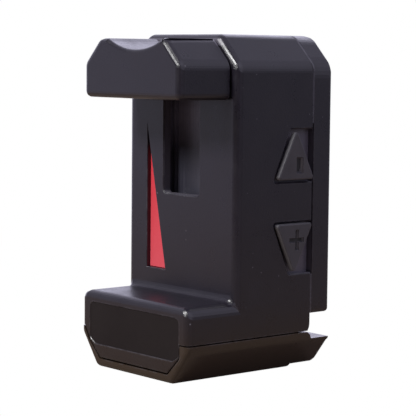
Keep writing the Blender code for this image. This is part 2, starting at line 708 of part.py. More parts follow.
def build():
    clear_scene()
    shell_black = material("shell_plastic", (0.035, 0.033, 0.042), 0.42)
    key_grey = material("key_rubber", (0.05, 0.05, 0.052), 0.6)
    window_dark = material("window_dark", (0.016, 0.013, 0.013), 0.5)
    lens_red = material("lens_red", (0.75, 0.02, 0.05), 0.3)
    guide_clear = material("light_guide", (0.8, 0.78, 0.76), 0.3)
    board_green = material("board_green", (0.03, 0.16, 0.07), 0.45)
    chip_black = material("chip_black", (0.02, 0.02, 0.022), 0.5)
    led_white = material("led_white", (0.85, 0.84, 0.78), 0.35)
    steel = material("steel", (0.62, 0.62, 0.63), 0.28, 1.0)
    copper = material("copper", (0.72, 0.38, 0.22), 0.35, 1.0)
    grey_plastic = material("grey_plastic", (0.12, 0.12, 0.125), 0.5)
    plunger_white = material("plunger_white", (0.7, 0.7, 0.68), 0.4)
    ribbon_amber = material("ribbon_amber", (0.55, 0.28, 0.06), 0.4)

    make_front_shell(shell_black)
    make_rear_cover(shell_black)
    make_battery_door(shell_black)
    make_upper_jaw(shell_black)
    make_slide_channel(shell_black)

    window = prism("sensor_window", "Y", window_outline(-0.15), LOW_JAW_Y + WINDOW_RECESS, LOW_JAW_Y + 1.0)
    finish(window, window_dark)

    lens = prism("wedge_lens", "Y", wedge_outline(-0.1), FACE_Y + WEDGE_RECESS, FACE_Y + WALL + 0.5)
    join(lens, prism("lens_flange", "Y", wedge_outline(0.55), FACE_Y + WALL + 0.15, FACE_Y + WALL + 0.9))
    finish(lens, lens_red)
    guide = prism("light_guide", "Y", wedge_outline(0.35), FACE_Y + WALL + 1.15, 0.7)
    finish(guide, guide_clear)

    board = box("main_board", (-14.3, BOARD_Y, 19.2), (14.3, BOARD_Y + BOARD_T, 60.6))
    for x, z in BOARD_SCREWS:
        cut(board, rod("hole", "Y", (x, z), 0.9, 0.0, 6.0, 20))
    finish(board, board_green)
    for index in range(5):
        z = 22.8 + index * 5.6
        x = WEDGE_X + 0.5 * WEDGE_BASE_W * (WEDGE_TIP_Z - z) / (WEDGE_TIP_Z - WEDGE_BASE_Z)
        block("indicator_led_%d" % (index + 1), (x - 1.4, 1.0, z - 1.0), (x + 1.4, BOARD_Y - 0.1, z + 1.0),
              led_white, 0.2)
    rear_face = BOARD_Y + BOARD_T
    block("microcontroller", (-3.5, rear_face + 0.1, 36.0), (3.5, rear_face + 1.2, 43.0), chip_black, 0.15)
    block("signal_amplifier", (-9.5, rear_face + 0.1, 25.5), (-4.5, rear_face + 1.5, 29.5), chip_black, 0.15)
    buzzer = loft("buzzer", "Y", [(rear_face + 0.1, circle(-7.0, 50.0, 4.6, 32)),
                                  (rear_face + 4.2, circle(-7.0, 50.0, 4.6, 32)),
                                  (rear_face + 4.5, circle(-7.0, 50.0, 4.3, 32))])
    cut(buzzer, rod("sound_hole", "Y", (-7.0, 50.0), 0.9, rear_face + 2.5, rear_face + 6.0, 20))
    finish(buzzer, chip_black)

    block("key_board", (10.7, rear_face + 0.4, 19.6), (11.5, SEAM_Y - 1.2, 51.4), board_green)
    make_switch("minus_switch", KEY_CENTRES["minus"], grey_plastic)
    make_switch("plus_switch", KEY_CENTRES["plus"], grey_plastic)
    for key, centre in KEY_CENTRES.items():
        finish(rod(key + "_plunger", "X", centre, 0.75, 12.75, 13.75), plunger_white)
    bar = [((9.05, 40.55), (10.95, 43.9))]
    make_key("minus_key", minus_outline, KEY_CENTRES["minus"], bar, 0.75, 0.45, key_grey)
    cross = [((9.0, 25.1), (10.0, 29.3)), ((7.4, 26.65), (11.35, 27.65))]
    make_key("plus_key", plus_outline, KEY_CENTRES["plus"], cross, 0.5, 0.2, key_grey)

    make_slider_plate(steel)
    for index, (x, z) in enumerate(SLIDER_SCREWS):
        make_screw("slider_screw_%d" % (index + 1), x, z, -3.2, -2.45, -8.4, 1.3, 0.55, steel)
    finish(rod("guide_rod", "Z", (ROD_X, ROD_Y), ROD_R, 15.9, 63.0), steel)
    make_spring(steel)
    block("stroke_switch", (12.95, -3.7, 29.8), (15.3, 1.2, 35.5), grey_plastic, 0.2)

    tray = rod("battery_tray", "Z", (0.0, -2.0), 9.8, 4.9, 7.9, 48)
    cut(tray, rod("cell_seat", "Z", (0.0, -2.0), 8.35, 3.0, 6.9, 48))
    cut(tray, box("contact_way", (7.5, -4.4, 3.0), (11.0, 0.4, 6.9)))
    finish(tray, grey_plastic)
    cell = loft("coin_cell", "Z", [(2.5, circle(0.0, -2.0, 7.6, 48)), (2.7, circle(0.0, -2.0, 8.0, 48)),
                                   (5.2, circle(0.0, -2.0, 8.0, 48)), (5.4, circle(0.0, -2.0, 7.5, 48)),
                                   (5.7, circle(0.0, -2.0, 7.2, 48))])
    finish(cell, steel)
    block("negative_contact", (-1.6, -8.0, 6.1), (1.6, 4.0, 6.4), copper)
    block("positive_contact", (8.3, -4.0, 4.8), (8.6, 0.0, 6.6), copper)

    block("sensor_board", (-11.0, -15.9, 5.4), (11.0, -15.0, 12.4), board_green)
    block("infrared_emitter", (-7.6, -16.85, 7.4), (-4.4, -16.0, 10.6), led_white, 0.25)
    block("infrared_receiver", (4.4, -16.85, 7.4), (7.6, -16.0, 10.6), chip_black, 0.25)
    make_ribbon(ribbon_amber)

    block("sense_board", (-13.0, 14.5, 20.0), (13.0, 15.5, 59.5), board_green)
    block("sense_pad_left", (-11.8, 15.6, 22.0), (-1.0, 15.85, 57.5), copper)
    block("sense_pad_right", (1.0, 15.6, 22.0), (11.8, 15.85, 57.5), copper)

    for index, (x, z) in enumerate(COVER_SCREWS):
        make_screw("cover_screw_%d" % (index + 1), x, z, REAR_Y - 2.1, REAR_Y - 1.0, 6.0, 1.55, 0.62, steel)
    for index, (x, z) in enumerate(BOARD_SCREWS):
        make_screw("board_screw_%d" % (index + 1), x, z, rear_face + 0.1, rear_face + 0.95, -2.2, 1.5, 0.62,
                   steel)

    hang("jaw_slide_line", (0.0, FACE_Y, 60.0),
         ["upper_jaw", "slider_plate", "slider_screw_1", "slider_screw_2"])
    hang("battery_door_line", (0.0, 0.0, 4.0), ["battery_door"])
    for key, centre in KEY_CENTRES.items():
        hang(key + "_key_line", (KEY_FACE_X, centre[0], centre[1]), [key + "_key", key + "_plunger"])


build()
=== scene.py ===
"""Looks for the pocket stud finder: procedural materials, soft studio light and the camera.

Everything is in metres, in the frame of the CAD: +Z up, -Y towards the jaws, +X towards the keys.
"""
import json
import math

import bmesh
import bpy
from mathutils import Matrix, Vector


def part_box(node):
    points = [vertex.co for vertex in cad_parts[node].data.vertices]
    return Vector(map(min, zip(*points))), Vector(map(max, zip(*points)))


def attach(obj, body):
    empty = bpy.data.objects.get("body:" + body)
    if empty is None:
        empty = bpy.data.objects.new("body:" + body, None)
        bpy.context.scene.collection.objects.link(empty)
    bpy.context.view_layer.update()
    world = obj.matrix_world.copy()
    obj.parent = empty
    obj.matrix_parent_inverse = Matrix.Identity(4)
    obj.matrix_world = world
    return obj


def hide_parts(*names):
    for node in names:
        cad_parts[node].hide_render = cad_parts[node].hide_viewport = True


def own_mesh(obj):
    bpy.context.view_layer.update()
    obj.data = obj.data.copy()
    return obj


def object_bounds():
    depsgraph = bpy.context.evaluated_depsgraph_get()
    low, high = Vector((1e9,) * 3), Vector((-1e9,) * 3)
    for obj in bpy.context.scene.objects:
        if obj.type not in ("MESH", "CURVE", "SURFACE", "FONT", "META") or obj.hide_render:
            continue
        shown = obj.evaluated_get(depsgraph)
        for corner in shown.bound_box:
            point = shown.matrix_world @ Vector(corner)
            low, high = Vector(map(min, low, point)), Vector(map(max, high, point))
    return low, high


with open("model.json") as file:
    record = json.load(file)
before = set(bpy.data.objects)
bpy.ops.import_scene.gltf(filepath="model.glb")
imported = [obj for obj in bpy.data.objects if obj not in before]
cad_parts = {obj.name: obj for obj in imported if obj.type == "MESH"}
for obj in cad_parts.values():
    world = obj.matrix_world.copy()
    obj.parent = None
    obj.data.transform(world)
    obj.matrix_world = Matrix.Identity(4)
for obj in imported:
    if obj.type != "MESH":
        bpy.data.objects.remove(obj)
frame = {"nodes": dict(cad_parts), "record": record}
CAD_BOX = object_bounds()
NODES = frame["nodes"]
MM = 0.001


# ---------------------------------------------------------------- node helpers
def rgba(colour):
    return (colour[0], colour[1], colour[2], 1.0)


class Graph:
    """The node tree of a material or a world, with short calls for the nodes used here."""

    def __init__(self, owner, output_kind="ShaderNodeOutputMaterial"):
        owner.use_nodes = True
        self.owner = owner
        self.tree = owner.node_tree
        self.tree.nodes.clear()
        self.output = self.node(output_kind)
        coordinates = self.node("ShaderNodeTexCoord").outputs
        self.place = coordinates["Object"]
        self.outlook = coordinates["Generated"]

    def node(self, kind, **settings):
        made = self.tree.nodes.new(kind)
        for key, value in settings.items():
            setattr(made, key, value)
        return made

    def feed(self, socket, value):
        if isinstance(value, bpy.types.NodeSocket):
            self.tree.links.new(value, socket)
        else:
            socket.default_value = value

    def paint(self, socket, colour):
        self.feed(socket, colour if isinstance(colour, bpy.types.NodeSocket) else rgba(colour))

    def noise(self, scale, detail=2.0, roughness=0.5, place=None):
        made = self.node("ShaderNodeTexNoise")
        self.feed(made.inputs["Vector"], place or self.place)
        made.inputs["Scale"].default_value = scale
        made.inputs["Detail"].default_value = detail
        made.inputs["Roughness"].default_value = roughness
        return made.outputs["Fac"]

    def cells(self, scale, place=None, randomness=1.0):
        made = self.node("ShaderNodeTexVoronoi")
        self.feed(made.inputs["Vector"], place or self.place)
        made.inputs["Scale"].default_value = scale
        made.inputs["Randomness"].default_value = randomness
        return made.outputs

    def remap(self, value, low, high, to_low=0.0, to_high=1.0):
        made = self.node("ShaderNodeMapRange")
        self.feed(made.inputs["Value"], value)
        made.inputs["From Min"].default_value = low
        made.inputs["From Max"].default_value = high
        made.inputs["To Min"].default_value = to_low
        made.inputs["To Max"].default_value = to_high
        return made.outputs["Result"]

    def math(self, operation, a, b=0.0):
        made = self.node("ShaderNodeMath", operation=operation)
        self.feed(made.inputs[0], a)
        self.feed(made.inputs[1], b)
        return made.outputs[0]

    def mix(self, share, a, b, mode="MIX"):
        made = self.node("ShaderNodeMix", data_type="RGBA", blend_type=mode)
        self.feed(made.inputs[0], share)
        self.paint(made.inputs[6], a)
        self.paint(made.inputs[7], b)
        return made.outputs[2]

    def grey(self, value):
        made = self.node("ShaderNodeCombineColor")
        for socket in made.inputs:
            self.feed(socket, value)
        return made.outputs[0]

    def split(self, vector):
        made = self.node("ShaderNodeSeparateXYZ")
        self.feed(made.inputs[0], vector)
        return made.outputs

    def dot(self, a, b):
        made = self.node("ShaderNodeVectorMath", operation="DOT_PRODUCT")
        self.feed(made.inputs[0], a)
        self.feed(made.inputs[1], b)
        return made.outputs["Value"]

    def scaled(self, factors):
        """The place, stretched: a factor below 1 draws the pattern out along that axis."""
        made = self.node("ShaderNodeMapping")
        self.feed(made.inputs["Vector"], self.place)
        made.inputs["Scale"].default_value = factors
        return made.outputs["Vector"]

    def facing(self):
        """The x, y and z of the face's own normal."""
        return self.split(self.node("ShaderNodeNewGeometry").outputs["True Normal"])

    def bump(self, height, distance, strength=1.0, normal=None):
        made = self.node("ShaderNodeBump")
        self.feed(made.inputs["Strength"], strength)
        made.inputs["Distance"].default_value = distance
        self.feed(made.inputs["Height"], height)
        if normal is not None:
            self.feed(made.inputs["Normal"], normal)
        return made.outputs["Normal"]

    def edges(self, radius, low, high):
        """0 on flat surfaces, 1 on edges: how far the rounded normal leaves the true one."""
        soft = self.node("ShaderNodeBevel", samples=4)
        soft.inputs["Radius"].default_value = radius
        true = self.node("ShaderNodeNewGeometry").outputs["Normal"]
        return self.remap(self.dot(soft.outputs["Normal"], true), high, low)

    def within(self, coordinate, low, high, soft):
        """1 where the coordinate lies between low and high, fading to 0 over soft, all in mm."""
        rise = self.remap(coordinate, (low - soft) * MM, (low + soft) * MM)
        fall = self.remap(coordinate, (high - soft) * MM, (high + soft) * MM, 1.0, 0.0)
        return self.math("MULTIPLY", rise, fall)

    def blend(self, share, first, second):
        made = self.node("ShaderNodeMixShader")
        self.feed(made.inputs[0], share)
        self.feed(made.inputs[1], first)
        self.feed(made.inputs[2], second)
        return made.outputs[0]

    def surface(self, shader):
        self.feed(self.output.inputs["Surface"], shader)
        return self.owner

    def plastic(self, colour, roughness, normal, **sockets):
        """Ends a material with the Principled shader; extra names are its own sockets."""
        shader = self.node("ShaderNodeBsdfPrincipled")
        self.paint(shader.inputs["Base Color"], colour)
        self.feed(shader.inputs["Roughness"], roughness)
        self.feed(shader.inputs["Normal"], normal)
        for key, value in sockets.items():
            self.feed(shader.inputs[key.replace("_", " ")], value)
        return self.surface(shader.outputs[0])


def new_graph(name):
    return Graph(bpy.data.materials.new(name))


# ---------------------------------------------------------------- materials
PURPLE_DARK = (0.0070, 0.0056, 0.0098)
PURPLE_LIGHT = (0.0092, 0.0076, 0.0126)
# lighter, warmer colours of the battery door: painted warm light bounced from the floor
BROWN_DARK = (0.0150, 0.0128, 0.0150)
BROWN_LIGHT = (0.0190, 0.0162, 0.0190)
# lighter colours of the seam lip: painted light in the shaded seam
LIP_DARK = (0.026, 0.024, 0.032)
LIP_LIGHT = (0.040, 0.037, 0.048)
# painted light: a lighter colour for the shaded hollows of the shell
HOLLOW_PAINTED_LIGHT = (0.070, 0.064, 0.082)
# lighter rubbed edges: partly wear, partly painted glints
RUBBED_EDGE_AND_GLINT = (0.13, 0.125, 0.145)
DUST_SPECK = (0.42, 0.41, 0.46)
SHELL_ROUGHNESS = 0.32
# heights of the browner foot, which is painted warm light bounced from the floor
FOOT_TOP = 15.0 * MM
FOOT_BOTTOM = 8.0 * MM

# heights in mm round the top of the lower jaw, which is rougher than the rest
SHELF_LOW = 14.0
SHELF_HIGH = 16.0

# hollows of the shell that get painted light, as they lie in shade: from, to and softness in mm, along x,
# y and z
KEY_POCKETS = ((15.0, 17.15, 0.1), (3.0, 14.45, 0.05), (19.0, 51.0, 0.1))
SLOT_WALLS = ((-6.0, 6.0, 0.1), (-5.8, -3.0, 0.1), (35.0, 65.0, 0.1))
BEHIND_JAW = ((-13.0, 13.0, 1.0), (-7.0, -5.6, 0.1), (66.0, 67.5, 0.1))

# painted light and shade on the channel's bed up the tool: darker low down where the lamp lights it,
# brightest just under the upper jaw, darker again above; from height, to height, share at the first, at
# the second
BED_BRIGHTENS = (44.0 * MM, 51.0 * MM, 0.5, 2.5)
BED_DARKENS = (53.0 * MM, 57.0 * MM, 1.0, 0.3)

# x range in mm of the floors and walls of the signs sunk in the keys, which get painted shade and painted
# light
SIGN_DEPTH = (17.2, 18.0, 0.03)

# between these heights the red lens's tip turns to painted shade, and its glow stops
LENS_TIP_SHADE_FROM = 44.7 * MM
LENS_TIP_SHADE_TO = 45.6 * MM


def painted_light_hollows(g):
    """1 in the key pockets, on the walls of the jaw slot and just behind the upper jaw: the shaded hollows
    that get painted light.
    """
    found = None
    for ranges in (KEY_POCKETS, SLOT_WALLS, BEHIND_JAW):
        x, y, z = [g.within(part, *limits) for part, limits in zip(g.split(g.place), ranges)]
        here = g.math("MULTIPLY", x, g.math("MULTIPLY", y, z))
        found = here if found is None else g.math("MAXIMUM", found, here)
    return found


def shell_plastic(name, dark, light, tint=(1.0, 1.0, 1.0), hollows=False):
    """Fine-grained satin plastic with stray dust, rubbed edges that are partly wear and partly painted
    glints, a browner foot that is painted warm light bounced from the floor, and, where asked, painted
    light in the shaded hollows.
    """
    g = new_graph(name)
    cloud = g.noise(70.0, 3.0, 0.55)
    fine = g.noise(2600.0, 3.0, 0.6)
    colour = g.mix(g.remap(cloud, 0.3, 0.7), dark, light)
    colour = g.mix(g.remap(fine, 0.35, 0.75, 0.0, 0.35), colour, [c * 1.5 for c in light])
    height = g.split(g.place)[2]
    # painted warm bounce light from the floor: browner towards the bottom
    foot = g.math("MULTIPLY", g.remap(height, FOOT_TOP, FOOT_BOTTOM), 0.8)
    colour = g.mix(foot, colour, (dark[0] * 1.5, dark[1] * 1.05, dark[2] * 0.45))
    if hollows:
        # painted light in the shaded hollows: the key pockets, the slot walls and the gap behind the upper
        # jaw
        colour = g.mix(painted_light_hollows(g), colour, HOLLOW_PAINTED_LIGHT)
    edge = g.edges(0.45 * MM, 0.86, 0.995)
    wear_and_glint = g.math("MULTIPLY", edge, g.remap(g.noise(420.0, 4.0, 0.7), 0.4, 0.72))
    # partly wear, partly painted glints: lighter patches along the edges
    colour = g.mix(g.math("MULTIPLY", wear_and_glint, 0.6), colour, RUBBED_EDGE_AND_GLINT)
    dust = g.cells(520.0)
    speck = g.remap(dust["Distance"], 0.10, 0.03)
    speck = g.math("MULTIPLY", speck, g.remap(g.split(dust["Color"])[0], 0.93, 0.96))
    colour = g.mix(g.math("MULTIPLY", speck, 0.35), colour, DUST_SPECK)
    rough = g.remap(g.noise(160.0, 4.0, 0.6), 0.3, 0.7, SHELL_ROUGHNESS - 0.05, SHELL_ROUGHNESS + 0.06)
    rough = g.math("ADD", rough, g.remap(fine, 0.3, 0.7, -0.03, 0.04))
    upward = g.remap(g.facing()[2], 0.9, 0.99)
    shelf = g.math("MULTIPLY", upward, g.within(height, SHELF_LOW, SHELF_HIGH, 0.3))
    rough = g.math("ADD", rough, g.math("MULTIPLY", shelf, 0.08))
    rough = g.math("SUBTRACT", rough, g.math("MULTIPLY", edge, 0.05))
    grain = g.bump(fine, 0.030 * MM, 0.6)
    grain = g.bump(g.noise(9000.0), 0.006 * MM, 0.5, grain)
    grain = g.bump(g.noise(1900.0, 3.0, 0.7), 0.08 * MM, g.math("MULTIPLY", shelf, 0.6), grain)
    grain = g.bump(g.noise(3800.0, 3.0, 0.7), 0.015 * MM, g.math("MULTIPLY", edge, 0.6), grain)
    return g.plastic(colour, rough, grain, IOR=1.5, Specular_IOR_Level=0.5, Specular_Tint=rgba(tint))


def rubbed_channel(name):
    """The bed that the jaw slides on, with long vertical rub marks; its colour is lighter than the shell
    as painted light in the shaded slot, with painted light and shade up its height.
    """
    g = new_graph(name)
    marks = g.noise(2300.0, 3.0, 0.6, g.scaled((1.0, 1.0, 0.02)))
    fine = g.noise(2600.0, 3.0, 0.6)
    # lighter than the shell: painted light in the shaded slot
    colour = g.mix(g.remap(marks, 0.3, 0.7), (0.032, 0.031, 0.046), (0.054, 0.052, 0.074))
    colour = g.mix(g.remap(fine, 0.35, 0.75, 0.0, 0.3), colour, (0.06, 0.055, 0.07))
    height = g.split(g.place)[2]
    # painted light and shade: darker low down, brightest just under the upper jaw, darker again above
    light = g.math("MULTIPLY", g.remap(height, *BED_BRIGHTENS), g.remap(height, *BED_DARKENS))
    colour = g.mix(1.0, colour, g.grey(light), "MULTIPLY")
    rough = g.remap(marks, 0.3, 0.7, 0.30, 0.44)
    grain = g.bump(marks, 0.012 * MM, 0.7)
    return g.plastic(colour, rough, g.bump(fine, 0.02 * MM, 0.5, grain), IOR=1.5)


def rubber(name):
    """Matte key rubber: scuffed edges that are partly painted edge highlights, and signs with painted
    shade on their floors and painted light on their far walls.
    """
    g = new_graph(name)
    fine = g.noise(3200.0, 4.0, 0.65)
    cloud = g.noise(240.0, 3.0, 0.6)
    colour = g.mix(g.remap(cloud, 0.3, 0.7), (0.036, 0.034, 0.039), (0.048, 0.045, 0.051))
    colour = g.mix(g.remap(fine, 0.5, 0.75, 0.0, 0.4), colour, (0.056, 0.054, 0.058))
    wear_and_glint = g.edges(0.3 * MM, 0.84, 0.99)
    scuff_and_glint = g.math("MULTIPLY", wear_and_glint, g.remap(g.noise(900.0, 3.0, 0.7), 0.35, 0.65))
    # partly wear, partly painted edge highlights: lighter scuffs on the key edges
    colour = g.mix(g.math("MULTIPLY", scuff_and_glint, 0.6), colour, (0.16, 0.155, 0.175))
    facing = g.facing()
    sunk = g.within(g.split(g.place)[0], *SIGN_DEPTH)
    floor = g.math("MULTIPLY", sunk, g.remap(facing[0], 0.8, 0.95))
    sign_wall_light = g.math("MULTIPLY", sunk, g.remap(facing[1], -0.3, -0.6))
    # painted shade on the sign floors and painted light on the far walls that face the front
    colour = g.mix(g.math("MULTIPLY", floor, 0.85), colour, (0.004, 0.004, 0.005))
    colour = g.mix(g.math("MULTIPLY", sign_wall_light, 0.7), colour, (0.16, 0.155, 0.165))
    return g.plastic(colour, g.remap(fine, 0.3, 0.7, 0.5, 0.66), g.bump(fine, 0.03 * MM, 0.5), IOR=1.45)


def dark_window(name):
    """Brown-black plastic of the sensor window, with a matt face."""
    g = new_graph(name)
    cloud = g.noise(90.0, 3.0, 0.5)
    colour = g.mix(g.remap(cloud, 0.3, 0.7), (0.0105, 0.0080, 0.0082), (0.0130, 0.0102, 0.0104))
    rough = g.remap(g.noise(600.0, 3.0, 0.6), 0.3, 0.7, 0.5, 0.58)
    grain = g.bump(g.noise(5200.0), 0.004 * MM, 0.5)
    return g.plastic(colour, rough, grain, IOR=1.4, Specular_IOR_Level=0.14)


def red_lens(name):
    """The red wedge: paler and pinker towards its wide foot, with painted shade at its tip."""
    g = new_graph(name)
    height = g.split(g.place)[2]
    low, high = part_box("wedge_lens")
    share = g.remap(height, low.z, high.z)
    fine = g.noise(1500.0, 3.0, 0.6)
    colour = g.mix(share, (0.44, 0.050, 0.066), (0.36, 0.008, 0.014))
    colour = g.mix(g.remap(fine, 0.35, 0.7, 0.0, 0.25), colour, (0.50, 0.075, 0.09))
    tip_shade = g.remap(height, LENS_TIP_SHADE_FROM, LENS_TIP_SHADE_TO)
    # painted shade on the tip of the lens, where the recess wall shades it
    colour = g.mix(tip_shade, colour, (0.012, 0.004, 0.005))
    glow = g.mix(share, (0.80, 0.10, 0.15), (0.90, 0.012, 0.028))
    glow = g.mix(tip_shade, glow, (0.0, 0.0, 0.0))
    rough = g.remap(fine, 0.3, 0.7, 0.36, 0.46)
    return g.plastic(colour, rough, g.bump(fine, 0.01 * MM, 0.4), IOR=1.49, Specular_IOR_Level=0.2,
                     Emission_Color=glow, Emission_Strength=0.13)


def milky(name):
    """Cloudy clear plastic of the light guide."""
    g = new_graph(name)
    cloud = g.noise(500.0, 3.0, 0.5)
    colour = g.mix(cloud, (0.70, 0.68, 0.66), (0.82, 0.80, 0.78))
    return g.plastic(colour, g.remap(cloud, 0.3, 0.7, 0.3, 0.42), g.bump(cloud, 0.01 * MM, 0.4), IOR=1.49)


def circuit_board(name):
    """Green solder mask over a woven board, with darker raised copper under it."""
    g = new_graph(name)
    weave = g.noise(6000.0)
    lanes = g.cells(620.0, g.scaled((1.0, 1.0, 0.16)), 0.7)
    crossing = g.cells(500.0, g.scaled((0.2, 0.2, 1.0)), 0.6)
    copper = g.math("MULTIPLY", g.remap(lanes["Distance"], 0.2, 0.24),
                    g.remap(crossing["Distance"], 0.16, 0.2))
    colour = g.mix(g.math("MULTIPLY", copper, 0.8), (0.035, 0.19, 0.085), (0.012, 0.085, 0.035))
    colour = g.mix(g.remap(weave, 0.4, 0.7, 0.0, 0.25), colour, (0.06, 0.25, 0.12))
    return g.plastic(colour, g.remap(weave, 0.3, 0.7, 0.32, 0.46), g.bump(copper, 0.03 * MM, 0.5), IOR=1.5)


def epoxy(name):
    """Black chip moulding."""
    g = new_graph(name)
    fine = g.noise(4200.0, 4.0, 0.7)
    colour = g.mix(g.remap(fine, 0.35, 0.7), (0.014, 0.014, 0.015), (0.032, 0.032, 0.034))
    return g.plastic(colour, g.remap(fine, 0.3, 0.7, 0.42, 0.6), g.bump(fine, 0.012 * MM, 0.6), IOR=1.5)


def pale_package(name):
    """Cream moulding of the lamps and the emitter."""
    g = new_graph(name)
    fine = g.noise(2400.0, 3.0, 0.6)
    colour = g.mix(g.remap(fine, 0.3, 0.7), (0.78, 0.76, 0.66), (0.88, 0.87, 0.80))
    return g.plastic(colour, g.remap(fine, 0.3, 0.7, 0.3, 0.42), g.bump(fine, 0.006 * MM, 0.4), IOR=1.5)


def brushed(name, dark, light, roughness):
    """Metal with fine vertical streaks and duller blots."""
    g = new_graph(name)
    streak = g.noise(9000.0, 3.0, 0.6, g.scaled((1.0, 1.0, 0.04)))
    blot = g.noise(300.0, 3.0, 0.6)
    colour = g.mix(g.remap(streak, 0.3, 0.7), dark, light)
    colour = g.mix(g.remap(blot, 0.5, 0.75, 0.0, 0.3), colour, [c * 0.6 for c in dark])
    rough = g.math("ADD", g.remap(streak, 0.3, 0.7, roughness - 0.06, roughness + 0.08),
                   g.remap(blot, 0.4, 0.7, 0.0, 0.08))
    return g.plastic(colour, rough, g.bump(streak, 0.004 * MM, 0.5), Metallic=1.0)


def moulded(name, dark, light, roughness):
    """Plain moulded plastic of the inner pieces."""
    g = new_graph(name)
    fine = g.noise(3000.0, 3.0, 0.6)
    colour = g.mix(g.noise(200.0), dark, light)
    rough = g.remap(fine, 0.3, 0.7, roughness - 0.05, roughness + 0.07)
    return g.plastic(colour, rough, g.bump(fine, 0.012 * MM, 0.5), IOR=1.5)


def amber_film(name):
    """Ribbon film with copper tracks every 0.8 mm."""
    g = new_graph(name)
    lanes = g.math("FRACT", g.math("MULTIPLY", g.split(g.place)[0], 1.0 / (0.8 * MM)))
    track = g.remap(g.math("ABSOLUTE", g.math("SUBTRACT", lanes, 0.5)), 0.2, 0.26)
    colour = g.mix(track, (0.62, 0.30, 0.10), (0.50, 0.22, 0.045))
    rough = g.remap(g.noise(2000.0, 3.0, 0.6), 0.3, 0.7, 0.28, 0.4)
    return g.plastic(colour, rough, g.bump(track, 0.01 * MM, 0.5), IOR=1.6)


MATERIALS = {
    "shell_plastic": shell_plastic("satin_black_plastic", PURPLE_DARK, PURPLE_LIGHT, hollows=True),
    "key_rubber": rubber("grey_key_rubber"),
    "window_dark": dark_window("dark_sensor_plastic"),
    "lens_red": red_lens("red_lens_plastic"),
    "light_guide": milky("milky_light_guide"),
    "board_green": circuit_board("green_circuit_board"),
    "chip_black": epoxy("black_epoxy"),
    "led_white": pale_package("pale_led_package"),
    "steel": brushed("plated_steel", (0.50, 0.50, 0.51), (0.68, 0.68, 0.69), 0.3),
    "copper": brushed("copper_alloy", (0.60, 0.30, 0.16), (0.78, 0.44, 0.26), 0.34),
    "grey_plastic": moulded("grey_moulded_plastic", (0.085, 0.085, 0.09), (0.13, 0.13, 0.135), 0.48),
    "plunger_white": moulded("white_moulded_plastic", (0.62, 0.62, 0.60), (0.74, 0.74, 0.72), 0.4),
    "ribbon_amber": amber_film("amber_film"),
}
# the door's lighter, warmer colour and warm reflection tint are painted light bounced from the floor
DOOR_PLASTIC = shell_plastic("satin_door_plastic", BROWN_DARK, BROWN_LIGHT, tint=(1.0, 0.97, 0.92))
CHANNEL_PLASTIC = rubbed_channel("rubbed_channel_plastic")
# the lip is lighter than the shell: painted light in the shaded seam
LIP_PLASTIC = shell_plastic("seam_lip_plastic", LIP_DARK, LIP_LIGHT)

SLOTS = {entry["node"]: entry["material_slot"] for entry in frame["record"]["subparts"]}
for node_name, node in NODES.items():
    node.data.materials.clear()
    node.data.materials.append(MATERIALS[SLOTS[node_name]])
    for face in node.data.polygons:
        face.material_index = 0
NODES["battery_door"].data.materials[0] = DOOR_PLASTIC
NODES["slide_channel"].data.materials[0] = CHANNEL_PLASTIC


# ---------------------------------------------------------------- added pieces
SEAM_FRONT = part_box("front_shell")[1].y
SEAM_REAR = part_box("rear_cover")[0].y
SEAM_OVERLAP = 0.05 * MM
LIP_INSETS = (0.03 * MM, 0.80 * MM)
LIP_CORNER_R = 2.5 * MM
LIP_CHAMFER = 6.1 * MM
CHAMFER_SHIFT = 0.42
LIP_FOOT_CLEARANCE = 0.3 * MM
KEY_GAP_LOW = 19.9 * MM
KEY_GAP_HIGH = 50.6 * MM

WINDOW_GROWTH = 0.22 * MM

SPRING_AXIS = (10.6 * MM, -0.9 * MM)
SPRING_FOOT = 18.2 * MM
SPRING_HEAD = 55.75 * MM
SPRING_RADIUS = 1.75 * MM
WIRE_RADIUS = 0.22 * MM
CLOSED_PITCH = 2.4 * WIRE_RADIUS
SPRING_TURNS = 20
STEPS_A_TURN = 24
WIRE_SIDES = 10


def add_piece(name, bm, material, sharp=0.6):
    """A new piece on the tool's body, smooth but for edges sharper than the given angle."""
    bmesh.ops.recalc_face_normals(bm, faces=bm.faces)
    for face in bm.faces:
        face.smooth = True
    for edge in bm.edges:
        if len(edge.link_faces) == 2 and edge.calc_face_angle(0.0) > sharp:
            edge.smooth = False
    mesh = bpy.data.meshes.new(name)
    bm.to_mesh(mesh)
    bm.free()
    mesh.materials.append(material)
    piece = bpy.data.objects.new(name, mesh)
    bpy.context.scene.collection.objects.link(piece)
    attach(piece, "body")
    return piece


def skin(bm, rings):
    """Faces between neighbouring closed rings of points, and a cap on each end."""
    for low, high in zip(rings, rings[1:]):
        for k in range(len(low)):
            m = (k + 1) % len(low)
            bm.faces.new((low[k], low[m], high[m], high[k]))
    bm.faces.new(rings[0])
    bm.faces.new(rings[-1])


def rounded(corners, radius, count=6):
    """An open line with its inner corners replaced by arcs."""
    points = [corners[0]]
    for before, here, after in zip(corners, corners[1:], corners[2:]):
        to_before = (before - here).normalized()
        to_after = (after - here).normalized()
        half = to_before.angle(to_after) / 2.0
        centre = here + (to_before + to_after).normalized() * radius / math.sin(half)
        first = (here + to_before * radius / math.tan(half) - centre).normalized()
        last = (here + to_after * radius / math.tan(half) - centre).normalized()
        for k in range(count + 1):
            points.append(centre + first.slerp(last, k / count) * radius)
    points.append(corners[-1])
    return points


def strip(bm, outer, inner, front, rear):
    """A band between two lines of points (x, z), from front to rear along y."""
    rings = []
    for (xo, zo), (xi, zi) in zip(outer, inner):
        rings.append([bm.verts.new(place) for place in
                      ((xo, front, zo), (xo, rear, zo), (xi, rear, zi), (xi, front, zi))])
    skin(bm, rings)


